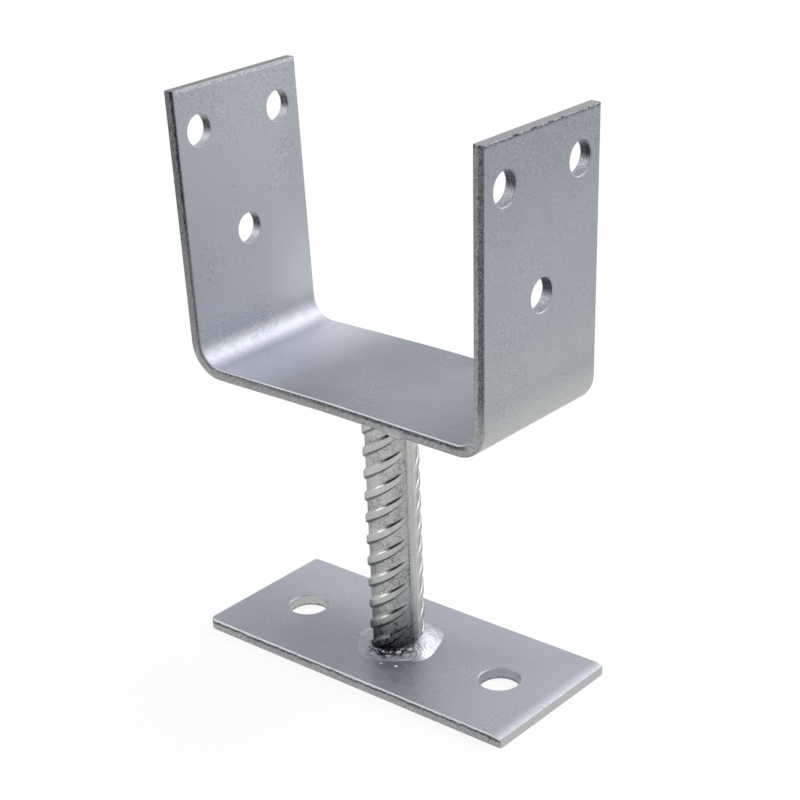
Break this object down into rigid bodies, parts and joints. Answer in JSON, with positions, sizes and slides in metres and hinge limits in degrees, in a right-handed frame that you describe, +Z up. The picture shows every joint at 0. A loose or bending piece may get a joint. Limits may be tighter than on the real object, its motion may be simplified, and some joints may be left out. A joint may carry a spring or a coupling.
{
  "type": "post base",
  "caption": "Galvanised steel post base: a channel with drilled legs on a ribbed steel bar, welded to a flat base plate with holes for anchor bolts.",
  "frame": {"origin": "middle of the base plate's underside", "axes": "+X along the base plate and across the channel's clear width, +Y along the width of the flat bar, +Z up towards the post"},
  "size_m": [0.16, 0.07, 0.24],
  "materials": {
    "channel_zinc": "satin bluish grey zinc coat with a fine grain",
    "plate_zinc": "satin bluish grey zinc coat with a fine grain",
    "ribbed_bar_zinc": "satin grey zinc coat on a hot-rolled ribbed bar",
    "weld_zinc": "bright rippled weld bead, zinc coated"
  },
  "bodies": {
    "root": {"channel": "channel_zinc", "base_plate": "plate_zinc", "ribbed_stem": "ribbed_bar_zinc", "lower_weld": "weld_zinc", "upper_weld": "weld_zinc"}
  },
  "joints": []
}
